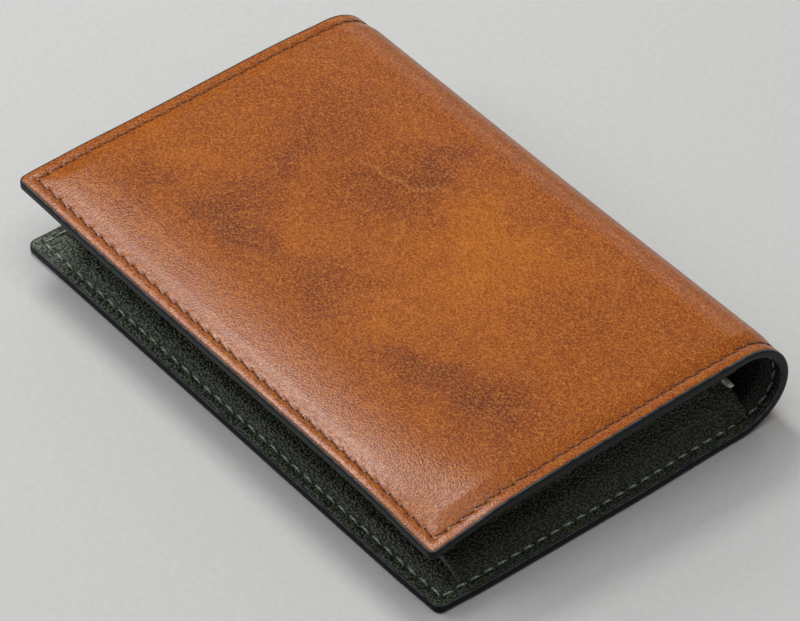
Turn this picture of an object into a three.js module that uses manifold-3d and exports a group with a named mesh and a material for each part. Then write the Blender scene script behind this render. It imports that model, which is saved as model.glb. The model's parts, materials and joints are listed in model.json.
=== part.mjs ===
// A leather card case that folds once around a rounded spine: a tan cover lined in green, with a card
// pocket on folded gussets inside its back half and a lid that closes over the pocket.
// Millimetres, +Z up. X runs along the spine, and +Y points from the free edges towards the spine.
import * as THREE from "three";
import { mergeVertices } from "three/addons/utils/BufferGeometryUtils.js";
import Module from "manifold-3d";

const wasm = await Module();
wasm.setup();

// Driving dimensions
const CASE_WIDTH = 110; // along the spine
const BACK_LENGTH = 65; // from the spine's centre line to the back's free edge
const LID_OVERHANG = 1.8; // how much further the lid reaches
const LID_TILT = 1.9; // degrees that the closed lid slopes down towards its free edge
const SPINE_RADIUS = 10.2; // to the outside of the leather
const SPINE_STRIPS = 5; // flat strips that stand in for the bend
const STRIP_GAP = 0.3; // between neighbouring strips, where the bend is divided
const CORNER_RADIUS = 2;

const LEATHER = 1.1; // cover leather
const LINING = 0.9;
const STIFFENER = 0.5;
const GUSSET = 0.8;
const POCKET_LEATHER = 1.0;
const POCKET_LINING = 0.8;
const SLIP_LEATHER = 0.9;
const LAYER_GAP = 0.1; // between layers that are glued or sewn together

const SEAM_INSET = 2.4; // from the edge to the middle of the seam
const THREAD_WIDTH = 0.5;
const THREAD_HEIGHT = 0.25;
const THREAD_GAP = 0.05;
const THREAD_START = 1; // from the spine's centre line to the panels' seams
const RIM_WIDTH = 3.3; // flat rim outside the crown, which the seam runs along
const CROWN_SLOPE = 1.6; // width of the slope between the rim and the crown
const HOLLOW_SLOPE = 0.6; // width of the slope around the hollow that holds the stiffener
const STIFFENER_INSET = 5.6;

const POCKET_SIDE_INSET = 4.4; // from the case's sides to the pocket's front
const POCKET_END_INSET = 6; // from the back's free edge to the pocket's closed end
const POCKET_MOUTH = 1.4; // from the spine's centre line to the mouth
const POCKET_CLEARANCE = 1.6; // between the lid's slip pocket and the pocket's front
const FRONT_SLIP_DROP = 13; // the front slip pocket's mouth below the main mouth
const LID_SLIP_SETBACK = 0.5; // of the lid's slip pocket from the lid's edges
const LID_SLIP_DEPTH = 48;
const FRONT_SEAM_INSET = 1.4;

const GUSSET_FLANGE = 3.3; // width sewn into the back's seam
const GUSSET_TOP_FLANGE = 2.3; // width sewn to the pocket's front
const GUSSET_FOLD = 8.4; // from the case's side to the inner face of the fold
const GUSSET_START = 6; // from the back's free edge to the gusset's cut end
const GUSSET_MOUTH = 1.6; // how far the gusset runs past the spine's centre line
const KNEE = 0.4; // extra flange outside each bend of a gusset
const KNEE_INSIDE = 0.5; // flange taken up by the bend's inner side
const FOLD_WALL = 1.2; // leather across the sharp fold
const BOTTOM_GUSSET_GAP = 0.8; // between the bottom gusset's ends and the side gussets
const BOTTOM_GUSSET_INSET = 8.6; // from the back's free edge to the bottom gusset
const BOTTOM_FLANGE = 2.2;
const BOTTOM_FOLD = 3.9; // how far the bottom gusset folds into the pocket

// Depths below the cover's outer face, which is 0 at the crown
const CROWN = STIFFENER + LAYER_GAP;
const RIM_FACE = CROWN;
const RIM_BACK = RIM_FACE + LEATHER;
const LINING_OUT = RIM_BACK + LAYER_GAP;
const LINING_IN = LINING_OUT + LINING;
const FLANGE_OUT = LINING_IN + LAYER_GAP;
const FLANGE_IN = FLANGE_OUT + GUSSET;
const LID_SLIP_IN = FLANGE_OUT + SLIP_LEATHER;
const FRONT_SLIP_OUT = LID_SLIP_IN + POCKET_CLEARANCE;
const FRONT_OUT = FRONT_SLIP_OUT + SLIP_LEATHER + LAYER_GAP;
const FRONT_LINING_OUT = FRONT_OUT + POCKET_LEATHER + LAYER_GAP;
const TOP_FLANGE_OUT = FRONT_LINING_OUT + POCKET_LINING + LAYER_GAP;
const TOP_FLANGE_IN = TOP_FLANGE_OUT + GUSSET;

const LID_LENGTH = BACK_LENGTH + LID_OVERHANG;
const POCKET_HALF_WIDTH = CASE_WIDTH / 2 - POCKET_SIDE_INSET;
const SPINE_TURN = THREE.MathUtils.degToRad(180 + LID_TILT);
const HINGES = SPINE_STRIPS + 1;
const HINGE_TURN = SPINE_TURN / HINGES;
const FAR = 400; // longer than anything that is cut

const leather = () => new THREE.MeshStandardMaterial({ color: 0xb3672a, roughness: 0.42, metalness: 0 });
const green = () => new THREE.MeshStandardMaterial({ color: 0x1d2a1c, roughness: 0.55, metalness: 0 });
const board = () => new THREE.MeshStandardMaterial({ color: 0x9a8468, roughness: 0.9, metalness: 0 });
const brownThread = () => new THREE.MeshStandardMaterial({ color: 0x4a2412, roughness: 0.7, metalness: 0 });
const greenThread = () => new THREE.MeshStandardMaterial({ color: 0x8fa898, roughness: 0.7, metalness: 0 });

function solidOf(geometry) {
  const bare = geometry.clone();
  bare.deleteAttribute("normal");
  bare.deleteAttribute("uv");
  const merged = mergeVertices(bare, 1e-4);
  return new wasm.Manifold(
    new wasm.Mesh({
      numProp: 3,
      vertProperties: merged.attributes.position.array,
      triVerts: new Uint32Array(merged.index.array),
    }),
  );
}

function geometryOf(solid) {
  const made = solid.getMesh();
  return new THREE.BufferGeometry()
    .setAttribute("position", new THREE.BufferAttribute(made.vertProperties, 3))
    .setIndex(new THREE.BufferAttribute(made.triVerts, 1));
}

const union = (solids) => solids.reduce((all, next) => all.add(next));
const inOrder = (a, b) => (a < b ? [a, b] : [b, a]);

// A panel frame has its origin on the spine's centre line and its cover face SPINE_RADIUS below it. "depth"
// is measured up from that face, and "reach" along Y from the centre line: the back's reach is negative.

function boxSolid(x0, x1, reach0, reach1, depth0, depth1) {
  const box = new THREE.BoxGeometry(x1 - x0, Math.abs(reach1 - reach0), depth1 - depth0);
  box.translate((x0 + x1) / 2, (reach0 + reach1) / 2, (depth0 + depth1) / 2 - SPINE_RADIUS);
  return solidOf(box);
}

// Outline of a panel, with its two corners at the far end rounded.
function panelShape(halfWidth, near, far, radius) {
  const side = Math.sign(far - near);
  const r = Math.min(radius, halfWidth / 2, Math.abs(far - near) / 2);
  const shape = new THREE.Shape();
  shape.moveTo(-halfWidth, near);
  shape.lineTo(-halfWidth, far - side * r);
  shape.quadraticCurveTo(-halfWidth, far, -halfWidth + r, far);
  shape.lineTo(halfWidth - r, far);
  shape.quadraticCurveTo(halfWidth, far, halfWidth, far - side * r);
  shape.lineTo(halfWidth, near);
  return shape;
}

function panelSolid(halfWidth, near, far, depth0, depth1, radius = CORNER_RADIUS) {
  const shape = panelShape(halfWidth, near, far, radius);
  const plate = new THREE.ExtrudeGeometry(shape, {
    depth: depth1 - depth0,
    bevelEnabled: false,
    curveSegments: 4,
  });
  plate.translate(0, 0, depth0 - SPINE_RADIUS);
  return solidOf(plate);
}

// A raised field over a panel, narrowing towards depth1 by CROWN_SLOPE on its two sides and its far end.
function fieldSolid(inset, near, far, depth0, depth1, slope) {
  const side = Math.sign(far - near);
  const wide = CASE_WIDTH / 2 - inset;
  const long = far - side * inset;
  const ring = (shrink, depth) => [
    [-wide + shrink, near, depth],
    [-wide + shrink, long - side * shrink, depth],
    [wide - shrink, long - side * shrink, depth],
    [wide - shrink, near, depth],
  ];
  return loft([ring(0, depth0), ring(slope, depth1)], -SPINE_RADIUS);
}

// A closed solid through rings of points, each ring with the same number of them.
function loft(rings, lift = 0) {
  const turned = THREE.ShapeUtils.isClockWise(flatten(rings[0]));
  const ordered = turned ? rings.map((ring) => [...ring].reverse()) : rings;
  const points = ordered.flatMap((ring) => ring.flatMap(([x, y, z]) => [x, y, z + lift]));
  const count = rings[0].length;
  const last = (rings.length - 1) * count;
  const faces = [];
  for (const [a, b, c] of THREE.ShapeUtils.triangulateShape(flatten(ordered[0]), [])) {
    faces.push([c, b, a], [last + a, last + b, last + c]);
  }
  for (let start = 0; start < last; start += count) {
    for (let i = 0; i < count; i += 1) {
      const a = start + i;
      const b = start + ((i + 1) % count);
      faces.push([a, b, b + count], [a, b + count, a + count]);
    }
  }
  const closed = (index) =>
    solidOf(
      new THREE.BufferGeometry()
        .setAttribute("position", new THREE.Float32BufferAttribute(points, 3))
        .setIndex(index.flat()),
    );
  const solid = closed(faces);
  return solid.volume() > 0 ? solid : closed(faces.map(([a, b, c]) => [c, b, a]));
}

// The ring's points in its own plane: the two coordinates that vary.
function flatten(ring) {
  const spread = [0, 1, 2].map((k) => {
    const values = ring.map((p) => p[k]);
    return Math.max(...values) - Math.min(...values);
  });
  const dropped = spread.indexOf(Math.min(...spread));
  const kept = [0, 1, 2].filter((k) => k !== dropped);
  return ring.map((p) => new THREE.Vector2(p[kept[0]], p[kept[1]]));
}

// Cuts a panel or strip where the bend is divided: side 1 is the next strip's side, side -1 the one before.
function mitre(solid, side) {
  const block = new THREE.BoxGeometry(FAR, FAR, FAR);
  block.translate(0, side * (FAR / 2 - STRIP_GAP / 2), 0);
  block.rotateX((side * HINGE_TURN) / 2);
  return solid.subtract(solidOf(block));
}

// The crown rises from the middle of the rim's thickness, so that the two solids join well.
function coverLeather(side, length) {
  const half = CASE_WIDTH / 2;
  const start = -side * SPINE_RADIUS;
  const end = side * length;
  const foot = (RIM_FACE + RIM_BACK) / 2;
  const slope = (CROWN_SLOPE * foot) / CROWN;
  const rim = panelSolid(half, start, end, RIM_FACE, RIM_BACK);
  const crown = fieldSolid(RIM_WIDTH + CROWN_SLOPE - slope, start, end, foot, 0, slope);
  const hollowInset = RIM_WIDTH + CROWN_SLOPE;
  const hollow = fieldSolid(hollowInset, start, end, RIM_BACK + LAYER_GAP, LEATHER, HOLLOW_SLOPE);
  return mitre(rim.add(crown).subtract(hollow), -side);
}

function stiffener(side, length) {
  const half = CASE_WIDTH / 2 - STIFFENER_INSET;
  const end = side * (length - STIFFENER_INSET);
  return panelSolid(half, 0, end, LEATHER + LAYER_GAP, LEATHER + LAYER_GAP + STIFFENER);
}

function coverLining(side, length) {
  const start = -side * SPINE_RADIUS;
  return mitre(panelSolid(CASE_WIDTH / 2, start, side * length, LINING_OUT, LINING_IN), -side);
}

function spineStrip(depth0, depth1) {
  const half = CASE_WIDTH / 2;
  const strip = boxSolid(-half, half, -SPINE_RADIUS, SPINE_RADIUS, depth0, depth1);
  return mitre(mitre(strip, 1), -1);
}

// Thread along both sides and across the far end. Each step of a side is [reach, depth]: from that reach on,
// towards the spine, the thread lies at that depth.
function seamThread(side, halfWidth, steps, start = THREAD_START) {
  const half = THREAD_WIDTH / 2;
  const [end, first] = steps[0];
  const wide = halfWidth + half;
  const bars = [boxSolid(-wide, wide, end - half, end + half, first, first + THREAD_HEIGHT)];
  for (const x of [-halfWidth, halfWidth]) {
    steps.forEach(([from, depth], i) => {
      const [to, nextDepth] = steps[i + 1] ?? [side * start, depth];
      bars.push(boxSolid(x - half, x + half, ...inOrder(from, to), depth, depth + THREAD_HEIGHT));
      if (nextDepth !== depth) {
        const [under, over] = inOrder(depth, nextDepth);
        bars.push(boxSolid(x - half, x + half, to - half, to + half, under, over + THREAD_HEIGHT));
      }
    });
  }
  return union(bars);
}

const caseGroup = new THREE.Group();
const spineAxis = new THREE.Group();
caseGroup.add(spineAxis);
spineAxis.position.set(0, 0, SPINE_RADIUS);

function frameAt(turn) {
  const frame = new THREE.Group();
  frame.rotation.x = turn;
  spineAxis.add(frame);
  return frame;
}

function addPiece(frame, name, solid, material) {
  const mesh = new THREE.Mesh(geometryOf(solid), material);
  mesh.name = name;
  frame.add(mesh);
}

const backFrame = frameAt(0);
const lidFrame = frameAt(SPINE_TURN);

// Cover
const seamHalf = CASE_WIDTH / 2 - SEAM_INSET;
for (const [name, frame, side, length] of [
  ["back", backFrame, -1, BACK_LENGTH],
  ["lid", lidFrame, 1, LID_LENGTH],
]) {
  addPiece(frame, name + "_leather", coverLeather(side, length), leather());
  addPiece(frame, name + "_stiffener", stiffener(side, length), board());
  addPiece(frame, name + "_lining", coverLining(side, length), green());
  const seamEnd = side * (length - SEAM_INSET);
  const outerDepth = RIM_FACE - THREAD_GAP - THREAD_HEIGHT;
  addPiece(frame, name + "_outer_thread", seamThread(side, seamHalf, [[seamEnd, outerDepth]]), brownThread());
}
for (let strip = 1; strip <= SPINE_STRIPS; strip += 1) {
  const frame = frameAt(strip * HINGE_TURN);
  addPiece(frame, "spine_leather_" + strip, spineStrip(0, LEATHER), leather());
  addPiece(frame, "spine_lining_" + strip, spineStrip(LINING_OUT, LINING_IN), green());
}

// Lid's slip pocket, open towards the spine
const lidSlipEnd = LID_LENGTH - LID_SLIP_SETBACK;
const lidSlipMouth = LID_LENGTH - LID_SLIP_DEPTH;
const lidSlipHalf = CASE_WIDTH / 2 - LID_SLIP_SETBACK;
addPiece(
  lidFrame,
  "lid_slip_pocket",
  panelSolid(lidSlipHalf, lidSlipMouth, lidSlipEnd, FLANGE_OUT, LID_SLIP_IN),
  green(),
);
const lidSeamEnd = LID_LENGTH - SEAM_INSET;
const lidSteps = [
  [lidSeamEnd, LID_SLIP_IN + THREAD_GAP],
  [lidSlipMouth - THREAD_WIDTH, LINING_IN + THREAD_GAP],
];
addPiece(lidFrame, "lid_inner_thread", seamThread(1, seamHalf, lidSteps), greenThread());
const backSeamEnd = -(BACK_LENGTH - SEAM_INSET);
const gussetEnd = -(BACK_LENGTH - GUSSET_START);
const backSteps = [
  [backSeamEnd, LINING_IN + THREAD_GAP],
  [gussetEnd - THREAD_WIDTH, FLANGE_IN + THREAD_GAP],
];
addPiece(backFrame, "back_inner_thread", seamThread(-1, seamHalf, backSteps), greenThread());

// Card pocket: its front lies parallel to the closed lid.
const frontFrame = frameAt(SPINE_TURN);
const frontEnd = BACK_LENGTH - POCKET_END_INSET;
const frontSlipMouth = POCKET_MOUTH + FRONT_SLIP_DROP;
const frontPanel = (mouth, depth, thickness) =>
  panelSolid(POCKET_HALF_WIDTH, mouth, frontEnd, depth, depth + thickness);
addPiece(frontFrame, "front_slip_pocket", frontPanel(frontSlipMouth, FRONT_SLIP_OUT, SLIP_LEATHER), green());
addPiece(frontFrame, "pocket_front", frontPanel(POCKET_MOUTH, FRONT_OUT, POCKET_LEATHER), green());
addPiece(
  frontFrame,
  "pocket_front_lining",
  frontPanel(POCKET_MOUTH, FRONT_LINING_OUT, POCKET_LINING),
  green(),
);

// The front's seam: two sides and the closed end, with a wrap around each side at the mouth.
const frontSeamHalf = POCKET_HALF_WIDTH - FRONT_SEAM_INSET;
const frontSeamEnd = frontEnd - FRONT_SEAM_INSET;
function frontThread() {
  const onSlip = FRONT_SLIP_OUT - THREAD_GAP - THREAD_HEIGHT;
  const onFront = FRONT_OUT - THREAD_GAP - THREAD_HEIGHT;
  const steps = [
    [frontSeamEnd, onSlip],
    [frontSlipMouth - THREAD_WIDTH, onFront],
  ];
  const under = TOP_FLANGE_IN + THREAD_GAP;
  const edge = POCKET_HALF_WIDTH + THREAD_GAP;
  const wrap0 = POCKET_MOUTH + THREAD_WIDTH;
  const wrap1 = wrap0 + THREAD_WIDTH;
  const bars = [seamThread(1, frontSeamHalf, steps, wrap0)];
  for (const side of [-1, 1]) {
    const outside = side * (edge + THREAD_HEIGHT);
    const across = inOrder(side * frontSeamHalf, outside);
    const down = inOrder(side * edge, outside);
    bars.push(boxSolid(...across, wrap0, wrap1, onFront, onFront + THREAD_HEIGHT));
    bars.push(boxSolid(...down, wrap0, wrap1, onFront, under + THREAD_HEIGHT));
    bars.push(boxSolid(...across, wrap0, wrap1, under, under + THREAD_HEIGHT));
  }
  return union(bars);
}
addPiece(frontFrame, "pocket_front_thread", frontThread(), greenThread());

// Height, in the back's frame, of a depth of the closed lid's frame at a reach of the back.
function closedHeight(reach, depth) {
  const slope = Math.tan(SPINE_TURN - Math.PI);
  return 2 * SPINE_RADIUS + reach * slope - depth / Math.cos(SPINE_TURN - Math.PI);
}

// Section of a leather band folded once: a flange on the lining, two leaves and a flange under the front.
// "out" is where the bottom flange starts, and "inward" the direction of the fold.
function foldedBand(low, high, out, bottomFlange, fold, topOut, topFlange, inward) {
  const middle = (low + high) / 2;
  const at = (distance) => out + inward * distance;
  const top = (distance) => topOut + inward * distance;
  return [
    [at(0), low],
    [at(bottomFlange + KNEE), low],
    [at(fold), middle],
    [top(topFlange + KNEE), high],
    [top(0), high],
    [top(0), high - GUSSET],
    [top(topFlange - KNEE_INSIDE), high - GUSSET],
    [at(fold - FOLD_WALL), middle],
    [at(bottomFlange - KNEE_INSIDE), low + GUSSET],
    [at(0), low + GUSSET],
  ];
}

function sideGusset(side) {
  const reaches = [gussetEnd, GUSSET_MOUTH];
  const rings = reaches.map((reach) => {
    const high = closedHeight(reach, TOP_FLANGE_OUT);
    const topOut = side * POCKET_HALF_WIDTH;
    const outline = foldedBand(
      FLANGE_OUT,
      high,
      (side * CASE_WIDTH) / 2,
      GUSSET_FLANGE,
      GUSSET_FOLD,
      topOut,
      GUSSET_TOP_FLANGE,
      -side,
    );
    return outline.map(([x, z]) => [x, reach, z]);
  });
  return loft(rings, -SPINE_RADIUS);
}

const bottomHalf = CASE_WIDTH / 2 - GUSSET_FOLD - BOTTOM_GUSSET_GAP;
const bottomOut = -(BACK_LENGTH - BOTTOM_GUSSET_INSET);

// Its top flange follows the slope of the pocket's front.
function bottomGusset() {
  const out = bottomOut;
  const outline = foldedBand(
    FLANGE_OUT,
    closedHeight(out, TOP_FLANGE_OUT),
    out,
    BOTTOM_FLANGE,
    BOTTOM_FLANGE + BOTTOM_FOLD,
    out,
    BOTTOM_FLANGE,
    1,
  );
  const middle = outline[2][1];
  const slope = Math.tan(SPINE_TURN - Math.PI);
  const tilted = outline.map(([y, z]) => (z > middle ? [y, z + (y - out) * slope] : [y, z]));
  return loft(
    [-bottomHalf, bottomHalf].map((x) => tilted.map(([y, z]) => [x, y, z])),
    -SPINE_RADIUS,
  );
}

addPiece(backFrame, "right_gusset", sideGusset(1), green());
addPiece(backFrame, "left_gusset", sideGusset(-1), green());
addPiece(backFrame, "bottom_gusset", bottomGusset(), green());
const bottomSeam = bottomOut + BOTTOM_FLANGE / 2 - KNEE_INSIDE / 2;
addPiece(
  backFrame,
  "bottom_gusset_thread",
  boxSolid(
    -bottomHalf,
    bottomHalf,
    bottomSeam - THREAD_WIDTH / 2,
    bottomSeam + THREAD_WIDTH / 2,
    FLANGE_IN + THREAD_GAP,
    FLANGE_IN + THREAD_GAP + THREAD_HEIGHT,
  ),
  greenThread(),
);

// The origin lies under the middle of the closed case, on the surface that it rests on.
const bounds = new THREE.Box3().setFromObject(caseGroup, true);
caseGroup.position.set(0, -(bounds.min.y + bounds.max.y) / 2, -bounds.min.z);

const root = new THREE.Group();
root.add(caseGroup);
export default root;
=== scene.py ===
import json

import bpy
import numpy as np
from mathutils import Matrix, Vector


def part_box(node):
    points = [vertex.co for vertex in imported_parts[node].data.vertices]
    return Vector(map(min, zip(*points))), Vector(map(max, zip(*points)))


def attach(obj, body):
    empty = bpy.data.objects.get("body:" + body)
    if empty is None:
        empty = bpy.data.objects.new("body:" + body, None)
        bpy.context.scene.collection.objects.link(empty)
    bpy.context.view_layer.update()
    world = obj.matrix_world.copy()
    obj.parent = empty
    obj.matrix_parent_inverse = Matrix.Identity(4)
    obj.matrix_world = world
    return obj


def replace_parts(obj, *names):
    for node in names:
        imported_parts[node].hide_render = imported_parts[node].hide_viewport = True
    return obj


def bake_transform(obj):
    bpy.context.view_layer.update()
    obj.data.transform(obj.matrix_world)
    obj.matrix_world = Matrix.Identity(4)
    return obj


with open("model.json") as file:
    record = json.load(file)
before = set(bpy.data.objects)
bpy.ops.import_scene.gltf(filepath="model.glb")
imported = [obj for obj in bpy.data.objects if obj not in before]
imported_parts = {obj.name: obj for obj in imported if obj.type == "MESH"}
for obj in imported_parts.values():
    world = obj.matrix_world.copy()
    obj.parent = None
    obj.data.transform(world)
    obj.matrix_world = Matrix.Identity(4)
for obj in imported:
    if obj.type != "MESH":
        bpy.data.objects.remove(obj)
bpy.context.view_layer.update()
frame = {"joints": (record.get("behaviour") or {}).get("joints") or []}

# A folding leather card case: a mottled tan cover, lined in dark green, that turns round a padded
# spine, with a gusseted card pocket in its back half and a lid with a slip pocket.
#
# Every leather part is worked out on the flat pattern of the opened cover, in millimetres: x along the
# spine, s from the back's free edge (negative) over the spine to the lid's, and d inwards from the
# cover's outer face. place() folds the pattern into the closed case.

MM = 0.001


def box_mm(node):
    """Lowest and highest corner of a CAD node in millimetres."""
    low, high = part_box(node)
    return np.array(low) / MM, np.array(high) / MM


# ---- the case's own sizes, from the frame
hinges = np.array([j["pos_m"][1:] for j in frame["joints"] if j["type"] == "hinge"]) / MM
sides = np.column_stack([2 * hinges, np.ones(len(hinges))])
circle = np.linalg.lstsq(sides, (hinges**2).sum(1), rcond=None)[0]
AXIS_Y, AXIS_Z = circle[:2]  # the spine's centre line
spokes = hinges - circle[:2]
hinge_angles = np.unwrap(np.arctan2(spokes[:, 1], spokes[:, 0]))
STEP = (hinge_angles[-1] - hinge_angles[0]) / (len(hinges) - 1)
RADIUS = np.hypot(*spokes.T).mean() * np.cos(STEP / 2)  # of the spine's outer face
TURN = STEP * len(hinges)
HALF = box_mm("back_leather")[1][0]  # half the case's width
S_BACK = box_mm("back_leather")[0][1] - AXIS_Y
S_LID = RADIUS * TURN  # where the lid starts to run straight
LINING_IN = box_mm("back_lining")[1][2]
FLANGE_OUT = box_mm("right_gusset")[0][2]
FRAME_RIM = 0.6  # the frame's rim lies this far below its crown
reach = AXIS_Y - box_mm("lid_leather")[0][1] - (RADIUS - FRAME_RIM) * abs(np.sin(TURN))
S_END = S_LID + reach / abs(np.cos(TURN))
BACK_CORNER, LID_CORNER = 1.5, 1.2
CORNER = 1.5  # of the panels inside
LEATHER, LINING, GUSSET = 1.1, 0.9, 0.8
EDGE_THICK = 1.55  # the layers are skived thin where they are sewn together
BACK_CROWN, BACK_RIM = 0.0, 0.15  # depths of the outer face, on the back and on the lid
LID_CROWN, LID_RIM = 0.25, 0.67

BACK_SEAM, LID_SEAM = 2.0, 2.4  # from the cut edge to the stitches
SEAM_LOW, SEAM_HIGH = S_BACK + BACK_SEAM + 0.3, S_END - LID_SEAM
STITCH, END_STITCH = 2.8, 2.95  # from one hole to the next, along a side and across an end
SIDE_STITCHES = round((SEAM_HIGH - SEAM_LOW) / STITCH)
END_STITCHES = round(2 * (HALF - LID_SEAM) / END_STITCH)
SIDE_PITCH = (SEAM_HIGH - SEAM_LOW) / SIDE_STITCHES
GROOVE = 0.42  # half the width of the groove that a seam presses
ROUNDED = 0.6  # how far in from a cut edge its rounding starts
FINE_BAND = 8.5  # how far in from the cut edge the cover's grid is fine

LID_SLIP_MOUTH = S_END - 48  # the lid's slip pocket, 48 mm deep
LID_SLIP_SETBACK = 0.45  # its cut edge lies this far inside the cover's
SLIP_SKIVE = 0.3
LID_SLIP_IN = FLANGE_OUT + 0.9
# the pocket's front lies under the lid, so its pattern runs beside the lid's
FRONT_HALF = box_mm("pocket_front")[1][0]
FRONT_MOUTH, FRONT_END = S_LID + 1.4, S_LID + 59
FRONT_SLIP_MOUTH = FRONT_MOUTH + 13
FRONT_SLIP_OUT, FRONT_OUT, FRONT_IN, TOP_FLANGE_OUT = 5.3, 6.3, 8.2, 8.3
FRONT_SEAM = 1.4  # from its cut edge to the stitches
FRONT_SEAM_X = FRONT_HALF - FRONT_SEAM
GUSSET_START = box_mm("right_gusset")[0][1] - AXIS_Y
GUSSET_MOUTH = box_mm("right_gusset")[1][1] - AXIS_Y
FLANGE_MOUTH = GUSSET_MOUTH + 2.0  # its flange runs on a little way round the bend
FLANGE_WIDE = 4  # of the flange under the cover's seam

CUTS = [S_BACK] + [RADIUS * STEP * k for k in range(1, 6)] + [S_END]  # the cover is split mid strip
SLIVER = 0.03  # height of the row of faces beside a cut


# ---- shaping
def ease(t):
    """0 below 0 and 1 above 1, with a level start and end: 3 t^2 - 2 t^3."""
    t = np.clip(t, 0, 1)
    return t * t * (3 - 2 * t)


def bell(t):
    """1 at 0, falling away on both sides: exp(-t^2)."""
    return np.exp(-np.square(t))


def fade(t):
    """1 at 0, falling to 0 at 1 by the square of 1 - t."""
    return np.square(np.clip(1 - t, 0, 1))


def inset(x, s):
    """How far inside the cover's cut edge a point lies: the distance into a rounded rectangle."""
    r = np.where(s < 0, BACK_CORNER, LID_CORNER)
    a = np.abs(x) - (HALF - r)
    b = np.maximum(S_BACK - s, s - S_END) + r
    return r - np.hypot(np.maximum(a, 0), np.maximum(b, 0)) - np.minimum(np.maximum(a, b), 0)


def seam_at(s):
    """Distance of the stitches from the cut edge, which changes evenly round the spine."""
    return over_spine(s, BACK_SEAM, LID_SEAM)


def warp(x, s):
    """How far the worn case bends inwards, each bend a square or a bell of the distance: the lid droops
    over its last 16 mm, most at its right corner and least at its left, and the spine has sunk at the
    top and swelled lower down, most at its right end."""
    from_end = S_END - s
    droop = 1.1 * fade(from_end / 16)
    right = 1.5 * bell(np.hypot(x - HALF, from_end) / 12.5)
    left = -0.60 * bell(np.hypot(x + HALF, from_end) / 18)
    sunk = (0.50 - 0.10 * x / HALF) * bell((s - 0.95 * S_LID) / 9)
    sunk += 0.15 * bell(x / 35) * bell((s - 0.7 * S_LID) / 5)
    at_ends = 0.30 * bell((x + HALF) / 12) + 0.65 * bell((x - HALF) / 25)
    swelled = -(0.2 + at_ends) * bell((s - 0.37 * S_LID) / 7)
    return droop + right + left + sunk + swelled


def pressed(x, s):
    """Share by which the back has been pressed wider than it was cut, but not at its right corner."""
    return 0.0075 * (1 - 0.9 * bell(np.hypot(x - HALF, s - S_BACK) / 7))


def place(x, s, d):
    """Folds the flat pattern: a point goes straight along the back, then turns about the spine's centre
    line by s / RADIUS at RADIUS - d from it, and then goes straight along the lid."""
    d = d + warp(x, s)
    turn = np.clip(s / RADIUS, 0, TURN)
    along = s - turn * RADIUS
    # the back has been pressed out a little wider and longer than it was cut
    share = pressed(x, s)
    x = x * (1 + share * (1 - ease(s / 25 + 1)))
    along = along * np.where(along < 0, 1 + 0.6 * share, 1)
    out = RADIUS - d
    y = AXIS_Y + along * np.cos(turn) + out * np.sin(turn)
    z = AXIS_Z + along * np.sin(turn) - out * np.cos(turn)
    return np.stack(np.broadcast_arrays(x, y, z), -1)


def at_holes(x, s, spread=0.62):
    """1 at each stitch hole of the cover and 0 half way to the next: a bell across the seam times a
    raised cosine, cubed, along it."""

    def row(across, phase, beyond):
        wave = (0.5 + 0.5 * np.cos(2 * np.pi * phase)) ** 3
        return bell(across / spread) * wave * ease(1 - np.maximum(beyond, 0) / 0.8)

    seam_x = HALF - seam_at(s)
    off_side, off_end = SEAM_LOW - s, s - SEAM_HIGH
    sides = row(np.abs(x) - seam_x, (s - SEAM_LOW) / SIDE_PITCH, np.maximum(off_side, off_end))
    phase = (0.5 * x / seam_x + 0.5) * END_STITCHES
    ends = row(np.minimum(np.abs(off_side), np.abs(off_end)), phase, np.abs(x) - seam_x)
    return np.maximum(sides, ends)


def over_spine(s, on_back, on_lid):
    """A value that changes evenly round the spine, from the back's to the lid's."""
    return on_back + (on_lid - on_back) * ease(s / S_LID)


def rim_depth(s):
    """Depth of the outer face along the cut edge: it rises to the crown's level at the lid's free edge."""
    return over_spine(s, BACK_RIM, LID_RIM) - 0.5 * at_free_edge(s)


def at_free_edge(s):
    """1 at the lid's free edge, 0 from 10 mm inside it."""
    return ease(1 - (S_END - s) / 10)


def sewn_rim(s):
    """Depth of the lining's inner face along the cut edge."""
    return rim_depth(s) + EDGE_THICK + 0.3 * at_free_edge(s)


def face_depth(x, s):
    """Depth of the cover's outer face: the crown, falling in an S to the sewn rim, a groove along the
    seam with a dimple at each hole, a puffed strip outside it and a rounded cut edge."""
    e = inset(x, s)
    crown, rim = over_spine(s, BACK_CROWN, LID_CROWN), rim_depth(s)
    fall = crown + (rim - crown) * (1 - ease((e - seam_at(s) + 0.1) / 3.4))
    groove = 0.10 * bell((e - seam_at(s)) / GROOVE)
    puff = -0.03 * bell((e - 1.2) / 0.7)
    rounding = 0.16 * fade(e / ROUNDED)
    return fall + groove + puff + rounding + 0.12 * at_holes(x, s)


def sewn_relief(x, s):
    """What the seam presses into the inner face: a groove with a dimple at each hole, a puffed strip
    outside it and a rounded edge."""
    e = inset(x, s)
    groove = -0.10 * bell((e - seam_at(s)) / GROOVE)
    puff = 0.07 * bell((e - 1.1) / 0.6)
    rounding = -0.14 * fade(e / ROUNDED)
    return groove + puff + rounding - 0.14 * at_holes(x, s)


def lining_depth(x, s):
    """Depth of the lining's inner face: level inside and skived down to the rim, where it is sewn."""
    rim = sewn_rim(s)
    inside = ease((inset(x, s) - seam_at(s) + 0.2) / 3.0)
    return rim + (LINING_IN - rim) * inside + sewn_relief(x, s)


def lid_slip_depth(x, s):
    """Depth of the slip pocket's inner face: it is skived and sewn down on the lining along its seam, and
    its mouth gapes a little in the middle."""
    e = inset(x, s)
    rim = sewn_rim(s) + SLIP_SKIVE
    gape = 0.35 * bell(x / 34) * fade((s - LID_SLIP_MOUTH) / 16)
    return rim + (LID_SLIP_IN + gape - rim) * ease((e - LID_SEAM) / 6) + sewn_relief(x, s)


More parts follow.
